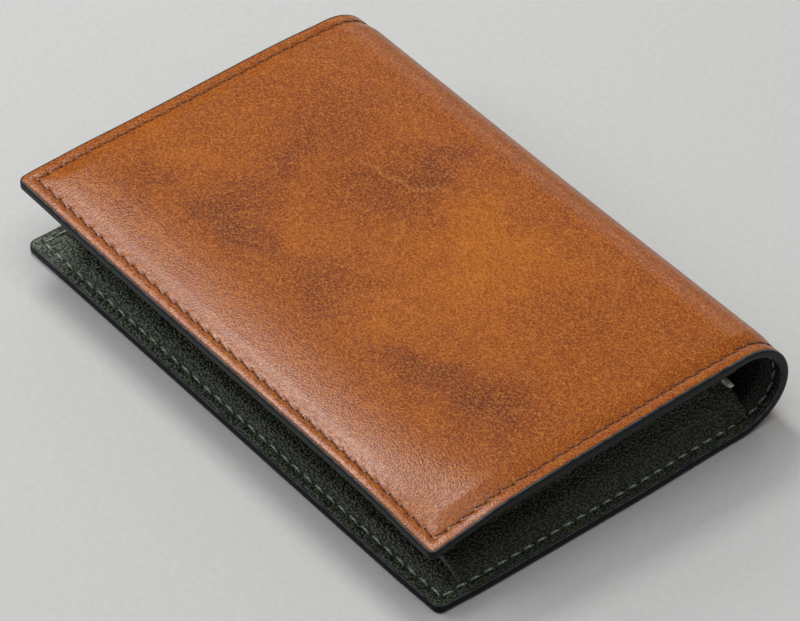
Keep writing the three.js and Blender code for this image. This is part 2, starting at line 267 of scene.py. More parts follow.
def lid_slip_under(x, s):
    """Its other face, which meets the lining."""
    return lid_slip_depth(x, s) - SLIP_SKIVE - 0.55 * ease((inset(x, s) - LID_SEAM) / 6)


def spaced(low, high, fine_low, fine_high, fine, coarse):
    """Grid lines from low to high, fine apart within fine_low of the start and fine_high of the end."""
    stops = [low, low + fine_low, high - fine_high, high]
    parts = [[low]]
    for a, b, pitch in zip(stops[:-1], stops[1:], (fine, coarse, fine)):
        if b > a:
            parts.append(np.linspace(a, b, max(2, int(np.ceil((b - a) / pitch)) + 1))[1:])
    return np.concatenate(parts)


def at_cuts(lines, low=None, high=None):
    """Adds a sliver of a row beside a cut, so that the shading runs on across it without a line."""
    extra = [cut + step for cut, step in ((low, SLIVER), (high, -SLIVER)) if cut is not None]
    return np.sort(np.concatenate([lines, extra]))


def corner_grid(xs, ss, half, low, high, r, round_low=True, round_high=True):
    """A grid with its corner squares drawn onto quarter discs: a corner point (a, b), each from 0 to 1,
    goes to (a sqrt(1 - b^2 / 2), b sqrt(1 - a^2 / 2))."""
    x, s = np.meshgrid(xs, ss)
    a = np.clip((np.abs(x) - (half - r)) / r, 0, 1)
    to_low = np.clip((low + r - s) / r, 0, 1) * round_low
    to_high = np.clip((s - (high - r)) / r, 0, 1) * round_high
    b = np.maximum(to_low, to_high)
    side = np.where(to_high > 0, 1.0, -1.0)
    moved_x = np.abs(x) - r * a * (1 - np.sqrt(1 - b * b / 2))
    return np.sign(x) * moved_x, s - side * r * b * (1 - np.sqrt(1 - a * a / 2))


# ---- mesh building
def sheet_faces(rows, columns):
    """Faces of a closed sheet: a grid, its twin turned over, and a wall round the border. The walls come
    last, and their number is returned too."""
    index = np.arange(rows * columns).reshape(rows, columns)
    top = np.stack([index[:-1, :-1], index[1:, :-1], index[1:, 1:], index[:-1, 1:]], -1).reshape(-1, 4)
    border = np.concatenate([index[:-1, 0], index[-1, :-1], index[:0:-1, -1], index[0, :0:-1]])
    after = np.roll(border, -1)
    under = rows * columns
    wall = np.stack([after, border, border + under, after + under], -1)
    return [top, top[:, ::-1] + under, wall], len(wall)


def tube_faces(rows, around, closed=False):
    """Faces of a tube whose rows of points each go once round, closed on itself or capped at both ends."""
    index = np.arange(rows * around).reshape(rows, around)
    if closed:
        index = np.concatenate([index, index[:1]])
    beside = np.roll(index, -1, 1)
    side = np.stack([index[:-1], beside[:-1], beside[1:], index[1:]], -1).reshape(-1, 4)
    return [side] if closed else [side, index[:1, ::-1], index[-1:]]


def put(name, data):
    """A new object in the scene."""
    made = bpy.data.objects.new(name, data)
    bpy.context.scene.collection.objects.link(made)
    return made


def piece(name, flat, faces, material, walls=0, wall_material=None, folded=None, extra=None):
    """A mesh from pattern points in millimetres, folded by place() unless it comes folded. Its "flat"
    attribute keeps the pattern's coordinates, which the leather's grain follows."""
    flat = np.asarray(flat, float).reshape(-1, 3)
    points = place(*flat.T) if folded is None else np.asarray(folded, float).reshape(-1, 3)
    rings = [list(face) for block in faces for face in block.tolist()]
    first = points[np.array([r[:3] for r in rings])]
    last = points[np.array([[r[0], r[2], r[-1]] for r in rings])]
    volume = sum(np.einsum("ij,ij->", t[:, 0], np.cross(t[:, 1], t[:, 2])) for t in (first, last))
    if volume < 0:
        rings = [r[::-1] for r in rings]
    mesh = bpy.data.meshes.new(name)
    mesh.from_pydata((points * MM).tolist(), [], rings)
    is_wall = np.arange(len(rings)) >= len(rings) - walls
    is_cap = np.array([len(r) > 4 for r in rings])
    mesh.polygons.foreach_set("use_smooth", ~(is_wall | is_cap))
    mesh.materials.append(material)
    if wall_material:
        mesh.materials.append(wall_material)
        mesh.polygons.foreach_set("material_index", is_wall.astype(np.int32))
    for key, values in {"flat": flat, **(extra or {})}.items():
        kind, field = ("FLOAT_VECTOR", "vector") if key == "flat" else ("FLOAT", "value")
        marks = mesh.attributes.new(key, kind, "POINT").data
        marks.foreach_set(field, np.asarray(values, np.float32).ravel())
    mesh.update()
    made = put(name, mesh)
    return made


def sheet(name, x, s, top, under, material, extra=None):
    """A closed sheet over a grid of pattern points, between two depths."""
    flat = np.stack([np.stack([x, s, depth], -1) for depth in (top, under)])
    faces, walls = sheet_faces(*x.shape)
    return piece(name, flat, faces, material, walls, extra=extra)


def on_cover(made):
    """Bakes a piece of the cover's placement into its mesh, and returns it."""
    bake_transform(made)
    return made


# ---- finishes
def paint(code):
    """An sRGB hex colour as linear red, green, blue and alpha."""
    parts = np.array([int(code[i : i + 2], 16) for i in (0, 2, 4)]) / 255
    linear = np.where(parts <= 0.04045, parts / 12.92, ((parts + 0.055) / 1.055) ** 2.4)
    return (*linear.tolist(), 1.0)


def fill(node, inputs):
    """Links or sets a node's sockets, named in a dictionary or taken in their order from a list."""
    for key, value in inputs.items() if isinstance(inputs, dict) else enumerate(inputs):
        if isinstance(value, bpy.types.NodeSocket):
            node.id_data.links.new(value, node.inputs[key])
        else:
            node.inputs[key].default_value = value


def add(tree, kind, inputs=(), take=0, ramp=(), **settings):
    """Adds a node, sets its properties, its ramp of hex colours and its sockets, and returns one output.
    A MapRange's list is the value, the range it comes in and the range it goes out in."""
    node = tree.nodes.new("ShaderNode" + kind)
    for key, value in settings.items():
        setattr(node, key, value)
    for i, (at, code) in enumerate(ramp):
        stop = node.color_ramp.elements[i] if i < 2 else node.color_ramp.elements.new(at)
        stop.position, stop.color = at, paint(code)
    fill(node, inputs)
    return node.outputs[take]


def finish_named(name):
    """A new material, its node tree and its Principled shader."""
    made = bpy.data.materials.new(name)
    made.use_nodes = True
    return made, made.node_tree, made.node_tree.nodes["Principled BSDF"]


def tan_leather():
    """Vegetable-tanned calf, dyed with aniline, hand-shaded and glazed: the dye sinks in unevenly, so it
    shows clouds of golden tan and red-brown, fine hair-cell grain with highlights painted along its
    ridges, and a few pale growth veins under a soft wax gloss; shade is painted round each stitch hole."""
    made, tree, skin = finish_named("glazed_aniline_calf")
    at = add(tree, "Attribute", take="Vector", attribute_name="flat")
    tone, vein, painted_shade = (
        add(tree, "Attribute", take="Fac", attribute_name=name) for name in ("tone", "vein", "painted_shade")
    )
    clouds = add(tree, "TexNoise", {"Vector": at, "Scale": 1 / 13, "Detail": 4.0, "Roughness": 0.62,
                                    "Distortion": 0.4})  # clouds 13 mm across
    blots = add(tree, "TexNoise", {"Vector": at, "Scale": 1 / 2.6, "Detail": 3.0, "Roughness": 0.6})
    depth = 0.16
    for part, share in ((clouds, 0.30), (blots, 0.26), (tone, 0.26)):
        depth = add(tree, "Math", [part, share, depth], operation="MULTIPLY_ADD")
    dye = add(tree, "ValToRGB", {"Fac": depth},
              ramp=[(0.18, "6a2c08"), (0.76, "ab5f06"), (0.34, "823a06"), (0.54, "984c06")])
    # hair cells, 0.3 mm across on the hide and drawn at 0.58 mm so that they show: wrinkled ridges
    # between them, painted paler as highlights, pulled out of line by a finer noise
    pull = add(tree, "TexNoise", {"Vector": at, "Scale": 1 / 0.8, "Detail": 2.0}, "Color")
    moved = add(tree, "VectorMath", [pull, (0.6, 0.6, 0.6), at], operation="MULTIPLY_ADD")
    cells = add(tree, "TexVoronoi", {"Vector": moved, "Scale": 1 / 0.58, "Randomness": 1.0},
                "Distance", feature="DISTANCE_TO_EDGE")
    ridge = add(tree, "MapRange", [cells, 0.02, 0.17, 1.0, 0.0])
    specks = add(tree, "TexNoise", {"Vector": at, "Scale": 1 / 0.42, "Detail": 2.0})
    lit = add(tree, "MapRange", [specks, 0.35, 0.65, 0.15, 0.68])
    lit = add(tree, "Math", [ridge, lit], operation="MULTIPLY")
    pores = add(tree, "MapRange", [specks, 0.3, 0.52, 0.5, 0.0])
    colour = dye
    # painted highlight on the ridges, darker pores, paler veins, and painted shade round the stitch holes
    for share, code in ((lit, "c67c2e"), (pores, "602406"), (vein, "cf8a44"), (painted_shade, "3c1c0e")):
        colour = add(tree, "Mix", {0: share, 6: colour, 7: paint(code)}, 2, data_type="RGBA")
    rough = add(tree, "MapRange", [blots, 0.3, 0.7, 0.40, 0.50])
    height = add(tree, "MapRange", [cells, 0.0, 0.25])
    height = add(tree, "Math", [specks, 0.5, height], operation="MULTIPLY_ADD")
    grain = add(tree, "Bump", {"Height": height, "Strength": 0.5, "Distance": 0.00006})
    undulation = add(tree, "Bump", {"Height": blots, "Strength": 0.25, "Distance": 0.0002, "Normal": grain})
    wax = add(tree, "Bump", {"Height": height, "Strength": 0.16, "Distance": 0.00006})
    fill(skin, {"Base Color": colour, "Roughness": rough, "Normal": undulation, "Coat Normal": wax,
                "Specular IOR Level": 0.06, "Coat Weight": 0.42, "Coat Roughness": 0.21})
    return made


def green_leather():
    """Goatskin, drum-dyed forest green and rolled to a pebbled grain: rounded pebbles half a millimetre
    across, each with a grey-green glint painted on its top and painted shade in the creases between them,
    and a painted grey-green sheen towards the back's left corner; shade is also painted round the holes and
    inside the bend."""
    made, tree, skin = finish_named("pebbled_goatskin")
    at = add(tree, "Attribute", take="Vector", attribute_name="flat")
    painted_shade, painted_sheen = (add(tree, "Attribute", take="Fac", attribute_name=name) for name in ("painted_shade", "painted_sheen"))
    pull = add(tree, "TexNoise", {"Vector": at, "Scale": 1 / 1.8, "Detail": 2.0}, "Color")
    moved = add(tree, "VectorMath", [pull, (0.5, 0.5, 0.5), at], operation="MULTIPLY_ADD")
    pebbles = add(tree, "TexVoronoi", {"Vector": moved, "Scale": 1 / 0.46, "Smoothness": 0.25},
                  "Distance", feature="SMOOTH_F1")
    top = add(tree, "MapRange", [pebbles, 0.22, 0.72, 1.0, 0.0])
    clouds = add(tree, "TexNoise", {"Vector": at, "Scale": 1 / 9, "Detail": 3.0})
    level = add(tree, "Math", [clouds, 0.45, -0.22], operation="MULTIPLY_ADD")
    level = add(tree, "Math", [top, level], operation="ADD")
    # the pebble tops are painted lighter as glints, and the creases near black as shade
    dye = add(tree, "ValToRGB", {"Fac": level}, ramp=[(0.0, "090c06"), (0.95, "4c543a"), (0.45, "202616")])
    # painted sheen: a paler grey-green on the pebble tops towards the back's left corner
    painted_sheen = add(tree, "Math", [painted_sheen, top], operation="MULTIPLY")
    colour = add(tree, "Mix", {0: painted_sheen, 6: dye, 7: paint("76836e")}, 2, data_type="RGBA")
    # painted shade round the holes and inside the bend
    colour = add(tree, "Mix", {0: painted_shade, 6: colour, 7: paint("070b07")}, 2, data_type="RGBA")
    rough = add(tree, "MapRange", [top, 0.0, 1.0, 0.6, 0.36])
    bump = add(tree, "Bump", {"Height": top, "Strength": 1.0, "Distance": 0.00016})
    fill(skin, {"Base Color": colour, "Roughness": rough, "Normal": bump, "Specular IOR Level": 0.5})
    return made


def edge_paint():
    """Acrylic edge paint, built up in coats over the cut layers and sanded: near black and semi-gloss,
    faintly wavy, with a thin grey highlight painted along its two corners."""
    made, tree, coat = finish_named("acrylic_edge_paint")
    at = add(tree, "Attribute", take="Vector", attribute_name="flat")
    painted_highlight = add(tree, "Attribute", take="Fac", attribute_name="painted_highlight")
    waves = add(tree, "TexNoise", {"Vector": at, "Scale": 1 / 1.3, "Detail": 2.0})
    tint = add(tree, "ValToRGB", {"Fac": waves}, ramp=[(0.3, "08090c"), (0.75, "101216")])
    # painted highlight: a grey line along the bead's corners, broken up by the waves
    painted_sheen = add(tree, "MapRange", [waves, 0.3, 0.6, 0.35, 1.0])
    painted_sheen = add(tree, "Math", [painted_sheen, painted_highlight], operation="MULTIPLY")
    colour = add(tree, "Mix", {0: painted_sheen, 6: tint, 7: paint("606268")}, 2, data_type="RGBA")
    rough = add(tree, "MapRange", [waves, 0.0, 1.0, 0.24, 0.36])
    bump = add(tree, "Bump", {"Height": waves, "Strength": 0.3, "Distance": 0.0001})
    fill(coat, {"Base Color": colour, "Roughness": rough, "Normal": bump, "Specular IOR Level": 0.12})
    return made


def waxed_thread(name, dark, mid, light):
    """Waxed linen, three plies laid together: dark lines wind round it between the plies, and the wax
    gives it a dull shine. The "lay" attribute counts turns along the thread, and a second attribute is 1
    where shade is painted on: at its ends, drawn into the holes, and along the stitches inside the bend."""
    made, tree, ply = finish_named(name)
    at = add(tree, "Attribute", take="Vector", attribute_name="flat")
    lay, painted_thread_shade = (add(tree, "Attribute", take="Fac", attribute_name=word) for word in ("lay", "painted_thread_shade"))
    turn = add(tree, "Math", [lay, 2 * np.pi], operation="MULTIPLY")
    wave = add(tree, "Math", [turn], operation="COSINE")
    level = add(tree, "Math", [wave, 0.5, 0.5], operation="MULTIPLY_ADD")
    fuzz = add(tree, "TexNoise", {"Vector": at, "Scale": 1 / 0.2, "Detail": 1.0})
    mixed = 0.15
    # painted shade darkens the thread towards its ends and inside the bend
    for part, share in ((fuzz, 0.3), (level, 0.3), (painted_thread_shade, -0.8)):
        mixed = add(tree, "Math", [part, share, mixed], operation="MULTIPLY_ADD")
    dye = add(tree, "ValToRGB", {"Fac": mixed}, ramp=[(0.0, dark), (0.7, light), (0.3, mid)])
    bump = add(tree, "Bump", {"Height": level, "Strength": 0.5, "Distance": 0.00005})
    fill(ply, {"Base Color": dye, "Normal": bump, "Roughness": 0.6, "Specular IOR Level": 0.3})
    return made


def fibre_board():
    """Bonded leather fibre board, rolled and sanded: buff, flecked with short darker fibres."""
    made, tree, board = finish_named("bonded_fibre_board")
    at = add(tree, "Attribute", take="Vector", attribute_name="flat")
    longer = add(tree, "Mapping", {"Vector": at, "Scale": (0.4, 1.6, 1.6)})
    fibres = add(tree, "TexNoise", {"Vector": longer, "Scale": 1.0, "Detail": 4.0})
    tint = add(tree, "ValToRGB", {"Fac": fibres}, ramp=[(0.35, "6e5d48"), (0.65, "a08c6e")])
    bump = add(tree, "Bump", {"Height": fibres, "Strength": 0.4, "Distance": 0.0001})
    fill(board, {"Base Color": tint, "Normal": bump, "Roughness": 0.85})
    return made


def burnished_edge():
    """A cut leather edge burnished with gum: dark green fibres pressed smooth, with a paler grey highlight
    painted along the side gussets' cut ends at the closed end.
    """
    made, tree, cut = finish_named("gum_burnished_edge")
    at = add(tree, "Attribute", take="Vector", attribute_name="flat")
    painted_highlight = add(tree, "Attribute", take="Fac", attribute_name="painted_highlight")
    fibres = add(tree, "TexNoise", {"Vector": at, "Scale": 1 / 0.35, "Detail": 2.0})
    tint = add(tree, "ValToRGB", {"Fac": fibres}, ramp=[(0.3, "0e120d"), (0.7, "1c221a")])
    # painted highlight in paler grey
    colour = add(tree, "Mix", {0: painted_highlight, 6: tint, 7: paint("525751")}, 2, data_type="RGBA")
    bump = add(tree, "Bump", {"Height": fibres, "Strength": 0.3, "Distance": 0.0001})
    fill(cut, {"Base Color": colour, "Normal": bump, "Roughness": 0.45})
    return made


RAW = burnished_edge()
CALF = tan_leather()
GOAT = green_leather()
EDGE = edge_paint()
BROWN = waxed_thread("brown_waxed_linen", "180a04", "5e3012", "8e5626")
SAGE = waxed_thread("sage_waxed_linen", "5a665a", "8f9d90", "b6c2b4")
PALE = waxed_thread("pale_waxed_linen", "98948a", "d0ccc0", "f0ece2")
BOARD = fibre_board()


# ---- the tan cover
# Clouds shaded in by hand: centre x, s from the lid's free edge, half width, half length, strength.
CLOUDS = [
    (-23, 23, 8, 5, -1.3), (-41, 15.5, 6, 5, -0.7), (-29, 39, 5, 11, -0.7), (-12, 55, 7, 8, -1.0),
    (-16, 45, 6, 6, -0.6), (-2.5, 21, 7, 6, -0.6), (26, 23, 8, 5, -0.9), (34, 26, 6, 5, -0.7),
    (42, 28, 5, 6, -0.5), (11, 47, 12, 10, 1.1), (4, 57, 9, 5, 0.6), (-44, 54, 7, 14, 0.25),
    (-38, 24, 5, 5, 0.6), (-48, 26, 4, 7, 0.6), (-13, 30, 7, 5, 0.5), (15, 27, 8, 5, 0.4),
    (8, 35, 9, 5, 0.3), (-24, 61, 8, 5, 0.3), (44, 56, 12, 10, 0.1), (30, 40, 8, 6, 0.15),
    (-34, 55, 13, 9, -0.4),
]
# Growth veins, each a line of (x, s from the lid's free edge) with a strength.
VEINS = [
    ([(-21.3, 47.7), (-15, 48.9), (-10, 50.2), (-7.5, 53.3), (-5, 54.8)], 0.4),
    ([(-52.5, 4.6), (-45, 8.9), (-38.7, 10.8), (-30, 10.8), (-25, 9.6), (-13.7, 10.8)], 0.25),
    ([(-5, 44.6), (-1.2, 38.3), (0, 35.8)], 0.2),
    ([(25, 65.8), (31.3, 59.6), (33.8, 54.6)], 0.15),
    ([(26.3, 34.6), (37.5, 36.4)], 0.18),
    ([(5, 28.3), (15, 32)], 0.15),
]


def tones(x, s):
    """The hand shading: a sum of bells on a gently warped pattern, so that no cloud is an ellipse."""
    t = S_END - s
    wx = x + 2.6 * np.sin(0.23 * t + 0.11 * x + 0.8) + 1.3 * np.sin(0.61 * t - 0.3 * x)
    wt = t + 2.4 * np.sin(0.19 * x - 0.13 * t + 2.1) + 1.2 * np.sin(0.55 * x + 0.27 * t + 1.0)
    total = np.zeros(np.shape(x))
    for cx, ct, rx, rt, strength in CLOUDS:
        total += strength * bell(np.hypot((wx - cx) / rx, (wt - ct) / rt))
    return total


def veins(x, s):
    """Closeness to the nearest growth vein: a narrow bell of the distance to each straight length."""
    t = S_END - s
    wx = x + 0.35 * np.sin(1.3 * t + 0.6)
    wt = t + 0.35 * np.sin(1.1 * x)
    best = np.zeros(np.shape(x))
    for line, strength in VEINS:
        for (ax, at), (bx, bt) in zip(line[:-1], line[1:]):
            dx, dt = bx - ax, bt - at
            k = np.clip(((wx - ax) * dx + (wt - at) * dt) / (dx * dx + dt * dt), 0, 1)
            away = np.hypot(wx - ax - k * dx, wt - at - k * dt)
            best = np.maximum(best, strength * bell(away / 0.24))
    return best


def cover_sheet(name, part, top, under, material, pitch, seam_pitch, nodes, extra):
    """One length of a cover layer: a closed sheet between two depth functions of the pattern."""
    low, high = CUTS[part], CUTS[part + 1]
    first, last = part == 0, part == 5
    edge = 0.3  # the painted edge stands out beyond the sheet by this
    low += edge * first
    high -= edge * last
    xs = spaced(-HALF + edge, HALF - edge, FINE_BAND, FINE_BAND, seam_pitch, pitch)
    ss = spaced(low, high, FINE_BAND * first, FINE_BAND * last, seam_pitch, pitch)
    ss = at_cuts(ss, None if first else low, None if last else high)
    r = (BACK_CORNER if first else LID_CORNER) - edge
    x, s = corner_grid(xs, ss, HALF - edge, low, high, r, first, last)
    attributes = {key: np.stack([value(x, s)] * 2) for key, value in extra.items()}
    made = sheet(name, x, s, top(x, s), under(x, s), material, attributes)
    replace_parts(made, *nodes)
    return on_cover(made)


def leather_under(x, s):
    """Underside of the cover leather: its own thickness below the face, less where it is skived."""
    return face_depth(x, s) + LEATHER - 0.4 * (1 - ease((inset(x, s) - LID_SEAM) / 3))


def painted_hole_shade(x, s):
    """Painted shade tight round each stitch hole."""
    return 0.8 * at_holes(x, s, 0.45) ** 1.5


def painted_corner_sheen(x, s):
    """Painted sheen on the lining: a bell round the back's left corner, and one along its free edge,
    strongest towards that corner."""
    corner = 1.0 * bell(np.hypot(x + HALF, s - S_BACK) / 15)
    along = (0.28 + 0.5 * bell((x + HALF) / 45)) * bell((s - S_BACK) / 10)
    return np.maximum(corner, along)


def painted_bend_shade(x, s):
    """Painted shade on the lining: round the holes, and inside the bend, where little light reaches."""
    inside = 0.62 * ease((s + 2) / 8) * ease((S_LID + 10 - s) / 14)
    return np.maximum(painted_hole_shade(x, s), inside)


def cad_parts(kind, part):
    """The CAD nodes of a layer that one length of the cover stands for."""
    names = {0: [f"back_{kind}", f"spine_{kind}_1"], 5: [f"spine_{kind}_5", f"lid_{kind}"]}
    return names.get(part, [f"spine_{kind}_{part}", f"spine_{kind}_{part + 1}"])


def lining_under(x, s):
    """Underside of the lining."""
    return lining_depth(x, s) - LINING


# the leather gets painted shade round the stitch holes; the lining gets it round the holes and inside the
# bend, and a painted sheen near the back's left corner
for part in range(6):
    cover_sheet(f"cover_leather_{part + 1}", part, face_depth, leather_under, CALF, 0.46, 0.3,
                cad_parts("leather", part), {"tone": tones, "vein": veins, "painted_shade": painted_hole_shade})
    cover_sheet(f"cover_lining_{part + 1}", part, lining_depth, lining_under, GOAT, 0.7,
                0.35, cad_parts("lining", part), {"painted_shade": painted_bend_shade, "painted_sheen": painted_corner_sheen})


# ---- painted edges
def rim_path(half, near, far, r, pitch=0.6):
    """A U round one end of a panel: pattern points on the cut edge and their outward directions, up the
    left side, round two quarter circles and down the right."""
    side = np.sign(far - near)
    turn = far - side * r
    count = max(2, int(abs(turn - near) / pitch) + 1)
    legs = np.linspace(near, turn, count)[:-1]
    legs = np.insert(legs, 1, near + side * SLIVER)
    across = np.linspace(-half + r, half - r, int(2 * (half - r) / pitch))[1:-1]
    q = np.linspace(0, np.pi / 2, 8)
    x = [np.full(legs.shape, -half), -half + r - r * np.cos(q), across, half - r + r * np.sin(q)]
    s = [legs, turn + side * r * np.sin(q), np.full(across.shape, far), turn + side * r * np.cos(q)]
    nx = [np.full(legs.shape, -1.0), -np.cos(q), 0 * across, np.sin(q)]
    ns = [0 * legs, side * np.sin(q), np.full(across.shape, side), side * np.cos(q)]
    x.append(-x[0])
    s.append(legs[::-1])
    nx.append(-nx[0])
    ns.append(0 * legs)
    return np.stack([np.concatenate(v) for v in (x, s, nx, ns)])


def side_path(side, low, high, pitch=0.5):
    """A straight length of one side's cut edge."""
    s = at_cuts(np.linspace(low, high, int((high - low) / pitch) + 2), low, high)
    return np.stack([np.full(s.shape, side * HALF), s, np.full(s.shape, float(side)), 0 * s])


def closed_path(half, low, high, r):
    """The cut edge right round a panel."""
    middle = (low + high) / 2
    up = rim_path(half, middle, high, r)
    down = rim_path(half, middle, low, r)[:, ::-1]
    return np.concatenate([up, down[:, 1:-1]], 1)


def bead_section(bulge, groove):
    """Section of a painted edge: outwards in millimetres, and across the thickness from -1 to 1, a
    superellipse as high as the bulge with a faint groove where two layers meet, closed in the leather."""
    a = np.linspace(-np.pi / 2, np.pi / 2, 15)
    across = np.sign(np.sin(a)) * np.abs(np.sin(a)) ** 0.85
    out = bulge * (np.abs(np.cos(a)) ** 0.55 - 1)
    out -= groove * bell((across - 0.12) / 0.16)
    inner = -bulge - 0.35
    return np.concatenate([out, [inner, inner]]), np.concatenate([across, [0.7, -0.7]])


def edge_bead(name, path, top, under, closed=False, bulge=0.38, groove=0.05):
    """A painted edge along a path: the section carried along the cut edge, as thick there as the layers."""
    x, s, nx, ns = path[:, :, None]
    d0 = top(x - bulge * nx, s - bulge * ns) - 0.02
    d1 = under(x - bulge * nx, s - bulge * ns) + 0.02
    out, across = bead_section(bulge, groove)
    d = (d0 + d1) / 2 + across * (d1 - d0) / 2
    flat = np.stack(np.broadcast_arrays(x + nx * out, s + ns * out, d), -1)
    # painted highlight along both corners of the section
    painted_highlight = bell((np.abs(across) - 0.93) / 0.07) * (out > -bulge - 0.1) + 0 * flat[..., 0]
    return piece(name, flat, tube_faces(*flat.shape[:2], closed), EDGE, extra={"painted_highlight": painted_highlight})


for part in range(6):
    low, high = CUTS[part], CUTS[part + 1]
    if part == 0:
        paths = {"": rim_path(HALF, high, low, BACK_CORNER)}
    elif part == 5:
        paths = {"": rim_path(HALF, low, high, LID_CORNER)}
    else:
        paths = {"_left": side_path(-1, low, high), "_right": side_path(1, low, high)}
    for word, path in paths.items():
        on_cover(edge_bead(f"edge_paint_{part + 1}{word}", path, face_depth, lining_depth))


# ---- stitches
PLY_TURN = 0.9  # length of thread in which its plies wind once round


def stitches(name, ends, depth, outward, slant, material, thick=0.46, sink=0.55, rise=0.08):
    """Saddle stitches, one short tube each: from hole to hole, lying on the leather's face and diving in
    at both ends by a fourth power, and slanted across the seam. ends is (n, 4): from x, s to x, s."""
    ends = np.asarray(ends, float)
    along, around = 7, 6  # rings of points along a stitch, and points in a ring
    start, stop = ends[:, None, :2], ends[:, None, 2:]
    u = np.linspace(0.02, 0.98, along)
    run = stop - start
    length = np.linalg.norm(run, axis=-1, keepdims=True)
    direction = run / length
    normal = np.stack([-direction[..., 1], direction[..., 0]], -1)
    line = start + run * u[:, None] + normal * (slant * (0.5 - u)[:, None])
    flat_depth = depth(line[..., 0], line[..., 1])
    # the thread spans the dimples at its ends from the level of its middle
    level = flat_depth[:, along // 2][:, None]
    d = level + outward * (rise - sink * np.abs(2 * u - 1) ** 4)
    a = np.linspace(0, 2 * np.pi, around, endpoint=False)
    radius = thick / 2 * (1 - 0.25 * np.abs(2 * u - 1) ** 4)
    side = radius[:, None] * np.cos(a)
    lift = 0.8 * radius[:, None] * np.sin(a)
    x = line[..., 0, None] + normal[..., 0, None] * side
    s = line[..., 1, None] + normal[..., 1, None] * side
    flat = np.stack([x, s, d[..., None] + lift + 0 * x], -1)
    lay = (length * u[:, None])[..., None, 0] / PLY_TURN + a / (2 * np.pi) + 0 * x
    one = tube_faces(along, around)
    count = along * around
    faces = [np.concatenate([block + count * i for i in range(len(ends))]) for block in one]
    # painted shade on the thread: darker towards both ends, where it goes into the holes, and inside the
    # bend
    bend_thread_shade = 0.45 * ease(s / 8) * ease((S_LID + 2 - s) / 6)
    painted_thread_shade = np.maximum((np.abs(2 * u - 1) ** 1.6)[:, None] + 0 * x, bend_thread_shade)
    return piece(name, flat, faces, material, extra={"lay": lay, "painted_thread_shade": painted_thread_shade})


def hole_to_hole(x, s):
    """Ends of the stitches along a row of holes."""
    x, s = np.broadcast_arrays(x, s)
    return np.stack([x[:-1], s[:-1], x[1:], s[1:]], 1)


def seam_stitches(part):
    """Hole-to-hole ends of the cover's stitches whose middles lie on one length of the cover."""
    holes = np.linspace(SEAM_LOW, SEAM_HIGH, SIDE_STITCHES + 1)
    middle = (holes[:-1] + holes[1:]) / 2
    mine = (middle >= CUTS[part]) & (middle < CUTS[part + 1])
    rows = [hole_to_hole(side * (HALF - seam_at(holes)), holes)[mine] for side in (-1, 1)]
    if part in (0, 5):
        line = SEAM_LOW if part == 0 else SEAM_HIGH
        rows.append(hole_to_hole(np.linspace(-1, 1, END_STITCHES + 1) * (HALF - seam_at(line)), line))
    return np.concatenate(rows)


FLANGE_SKIVE = 0.22  # what the gusset's skived flange adds under the seam


def inner_face(x, s):
    """Depth of whatever the inner stitches lie on: the lining, a gusset's flange or the slip pocket."""
    on_flange = (s > GUSSET_START) & (s < FLANGE_MOUTH) & (np.abs(x) > HALF - FLANGE_WIDE)
    on_slip = s > LID_SLIP_MOUTH
    flange = BACK_RIM + EDGE_THICK + FLANGE_SKIVE + sewn_relief(x, s)
    return np.where(on_slip, lid_slip_depth(x, s), np.where(on_flange, flange, lining_depth(x, s)))


for part in range(6):
    ends = seam_stitches(part)
    outer = stitches(f"outer_stitches_{part + 1}", ends, face_depth, -1, -0.5, BROWN,
                     thick=0.48, sink=0.4, rise=-0.02)
    inner = stitches(f"inner_stitches_{part + 1}", ends, inner_face, 1, 0.25, SAGE,
                     thick=0.44, sink=0.7, rise=0.12)
    on_cover(outer)
    on_cover(inner)
    if part in (0, 5):
        half = "back" if part == 0 else "lid"
        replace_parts(outer, half + "_outer_thread")
        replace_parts(inner, half + "_inner_thread")


# ---- panels inside
def panel(name, half, low, high, top, under, nodes, body):
    """A flat leather panel: a closed sheet with rounded corners between two depth functions, and its
    painted edge."""
    edge, border, fine, coarse = 0.2, 4, 0.35, 0.6
    xs = spaced(-half + edge, half - edge, border, border, fine, coarse)
    ss = spaced(low + edge, high - edge, border, border, fine, coarse)
    x, s = corner_grid(xs, ss, half - edge, low + edge, high - edge, CORNER - edge)
    made = sheet(name, x, s, top(x, s), under(x, s), GOAT)
    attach(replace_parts(made, *nodes), body)
    path = closed_path(half, low, high, CORNER)
    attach(edge_bead(name + "_edge", path, top, under, True, bulge=0.3, groove=0.0), body)


def level(depth):
    """A face at one depth."""
    return lambda x, s: np.full(np.broadcast(x, s).shape, depth)


panel("lid_slip_panel", HALF - LID_SLIP_SETBACK, LID_SLIP_MOUTH, S_END - LID_SLIP_SETBACK, lid_slip_under,
      lid_slip_depth, ["lid_slip_pocket"], "lid")


def front_seam_pull(x, s):
    """How far the pocket front's seam is drawn down: a bell across its two sides and closed end."""
    away = np.minimum(np.abs(np.abs(x) - FRONT_SEAM_X), np.abs(FRONT_END - FRONT_SEAM - s))
    return 0.14 * bell(away / 0.45)


def front_face(x, s):
    """Outer face of the pocket's front, a little crowned between its seams."""
    e = np.minimum(FRONT_HALF - np.abs(x), FRONT_END - s)
    return FRONT_OUT + front_seam_pull(x, s) - 0.06 * ease((e - 2) / 6)


def slip_face(x, s):
    """Outer face of the slip pocket on the front: crowned, and gaping at the middle of its mouth."""
    e = np.minimum(FRONT_HALF - np.abs(x), FRONT_END - s)
    gape = 0.35 * bell(x / 30) * fade((s - FRONT_SLIP_MOUTH) / 14)
    return FRONT_SLIP_OUT + front_seam_pull(x, s) - 0.10 * ease((e - 2) / 6) - gape


def slip_under(x, s):
    """Its other face."""
    return slip_face(x, s) + 0.88


def front_stitch_face(x, s):
    """Depth of the face that the front's stitches lie on."""
    return np.where(s > FRONT_SLIP_MOUTH, slip_face(x, s), front_face(x, s))


